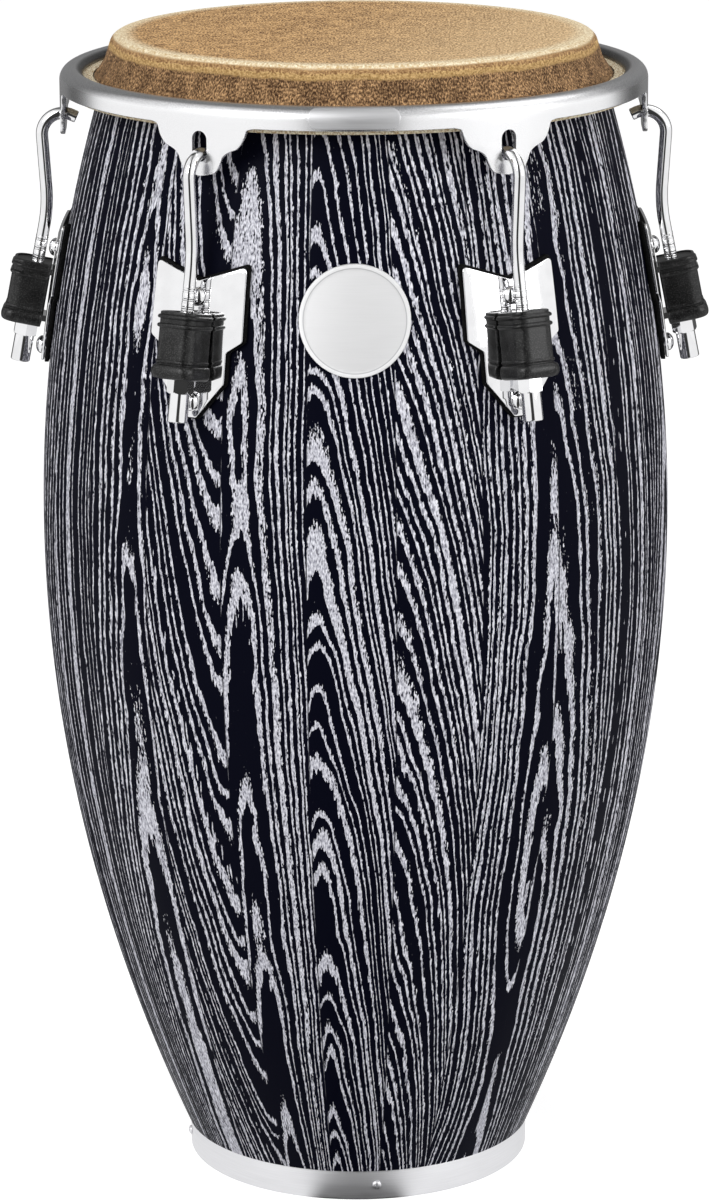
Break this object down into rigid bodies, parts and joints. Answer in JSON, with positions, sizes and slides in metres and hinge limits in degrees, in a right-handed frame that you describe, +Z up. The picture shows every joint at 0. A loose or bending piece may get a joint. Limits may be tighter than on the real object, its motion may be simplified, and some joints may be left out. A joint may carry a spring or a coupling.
{
  "type": "conga drum",
  "caption": "Tall barrel-shaped hand drum of dark stained wood with a hide head, chromed rim, hook tuning hardware and foot ring.",
  "frame": {"origin": "centre of the foot ring's underside, on the floor", "axes": "+Z up along the drum's axis, -Y towards the front with the round badge plate, +X to the right seen from the front"},
  "size_m": [0.4638, 0.4118, 0.762],
  "materials": {
    "stained_ash": "dark navy-black stain with brushed lavender-grey grain, satin",
    "hide": "natural hide, tan on top and brown on the wall, cream where it is cut and tucked",
    "chrome": "mirror polished",
    "satin_chrome": "satin",
    "plain_steel": "plain",
    "rubber": "matt black"
  },
  "bodies": {
    "drum": {"shell": "stained_ash", "head_skin": "hide", "flesh_hoop": "plain_steel", "foot_ring": "chrome", "badge_plate": "satin_chrome", "foot_screw_1": "chrome", "foot_screw_2": "chrome", "foot_screw_3": "chrome", "foot_screw_4": "chrome", "side_plate_1": "chrome", "gasket_1": "rubber", "boot_1": "rubber", "upper_bolt_1": "chrome", "lower_bolt_1": "chrome", "side_plate_2": "chrome", "gasket_2": "rubber", "boot_2": "rubber", "upper_bolt_2": "chrome", "lower_bolt_2": "chrome", "side_plate_3": "chrome", "gasket_3": "rubber", "boot_3": "rubber", "upper_bolt_3": "chrome", "lower_bolt_3": "chrome", "side_plate_4": "chrome", "gasket_4": "rubber", "boot_4": "rubber", "upper_bolt_4": "chrome", "lower_bolt_4": "chrome", "side_plate_5": "chrome", "gasket_5": "rubber", "boot_5": "rubber", "upper_bolt_5": "chrome", "lower_bolt_5": "chrome", "side_plate_6": "chrome", "gasket_6": "rubber", "boot_6": "rubber", "upper_bolt_6": "chrome", "lower_bolt_6": "chrome"},
    "rim": {"rim": "chrome", "rim_label_plate": "satin_chrome"},
    "hook_1": {"hook_1": "chrome"},
    "nut_1": {"tuning_nut_1": "chrome"},
    "hook_2": {"hook_2": "chrome"},
    "nut_2": {"tuning_nut_2": "chrome"},
    "hook_3": {"hook_3": "chrome"},
    "nut_3": {"tuning_nut_3": "chrome"},
    "hook_4": {"hook_4": "chrome"},
    "nut_4": {"tuning_nut_4": "chrome"},
    "hook_5": {"hook_5": "chrome"},
    "nut_5": {"tuning_nut_5": "chrome"},
    "hook_6": {"hook_6": "chrome"},
    "nut_6": {"tuning_nut_6": "chrome"}
  },
  "joints": [
    {"name": "rim_travel", "type": "slide", "parent": "drum", "child": "rim", "axis": [0, 0, 1], "range_m": [0, 0.008]},
    {"name": "hook_1_travel", "type": "slide", "parent": "drum", "child": "hook_1", "axis": [-0.098, 0.1697, 0.9806], "range_m": [0, 0.00817]},
    {"name": "nut_1_turn", "type": "hinge", "parent": "drum", "child": "nut_1", "pos_m": [0.10552, -0.18277, 0.593], "axis": [0.098, -0.1697, -0.9806], "range_deg": [0, 2351]},
    {"name": "hook_2_travel", "type": "slide", "parent": "drum", "child": "hook_2", "axis": [-0.1959, 0, 0.9806], "range_m": [0, 0.00817]},
    {"name": "nut_2_turn", "type": "hinge", "parent": "drum", "child": "nut_2", "pos_m": [0.21104, 0, 0.593], "axis": [0.1959, 0, -0.9806], "range_deg": [0, 2351]},
    {"name": "hook_3_travel", "type": "slide", "parent": "drum", "child": "hook_3", "axis": [-0.098, -0.1697, 0.9806], "range_m": [0, 0.00817]},
    {"name": "nut_3_turn", "type": "hinge", "parent": "drum", "child": "nut_3", "pos_m": [0.10552, 0.18277, 0.593], "axis": [0.098, 0.1697, -0.9806], "range_deg": [0, 2351]},
    {"name": "hook_4_travel", "type": "slide", "parent": "drum", "child": "hook_4", "axis": [0.098, -0.1697, 0.9806], "range_m": [0, 0.00817]},
    {"name": "nut_4_turn", "type": "hinge", "parent": "drum", "child": "nut_4", "pos_m": [-0.10552, 0.18277, 0.593], "axis": [-0.098, 0.1697, -0.9806], "range_deg": [0, 2351]},
    {"name": "hook_5_travel", "type": "slide", "parent": "drum", "child": "hook_5", "axis": [0.1959, 0, 0.9806], "range_m": [0, 0.00817]},
    {"name": "nut_5_turn", "type": "hinge", "parent": "drum", "child": "nut_5", "pos_m": [-0.21104, 0, 0.593], "axis": [-0.1959, 0, -0.9806], "range_deg": [0, 2351]},
    {"name": "hook_6_travel", "type": "slide", "parent": "drum", "child": "hook_6", "axis": [0.098, 0.1697, 0.9806], "range_m": [0, 0.00817]},
    {"name": "nut_6_turn", "type": "hinge", "parent": "drum", "child": "nut_6", "pos_m": [-0.10552, -0.18277, 0.593], "axis": [-0.098, -0.1697, -0.9806], "range_deg": [0, 2351]}
  ],
  "couplings": [
    {"joint": "hook_1_travel", "follows": "rim_travel", "ratio": 1.0198},
    {"joint": "nut_1_turn", "follows": "rim_travel", "rad_per_m": 5125.9},
    {"joint": "hook_2_travel", "follows": "rim_travel", "ratio": 1.0198},
    {"joint": "nut_2_turn", "follows": "rim_travel", "rad_per_m": 5125.9},
    {"joint": "hook_3_travel", "follows": "rim_travel", "ratio": 1.0198},
    {"joint": "nut_3_turn", "follows": "rim_travel", "rad_per_m": 5125.9},
    {"joint": "hook_4_travel", "follows": "rim_travel", "ratio": 1.0198},
    {"joint": "nut_4_turn", "follows": "rim_travel", "rad_per_m": 5125.9},
    {"joint": "hook_5_travel", "follows": "rim_travel", "ratio": 1.0198},
    {"joint": "nut_5_turn", "follows": "rim_travel", "rad_per_m": 5125.9},
    {"joint": "hook_6_travel", "follows": "rim_travel", "ratio": 1.0198},
    {"joint": "nut_6_turn", "follows": "rim_travel", "rad_per_m": 5125.9}
  ]
}
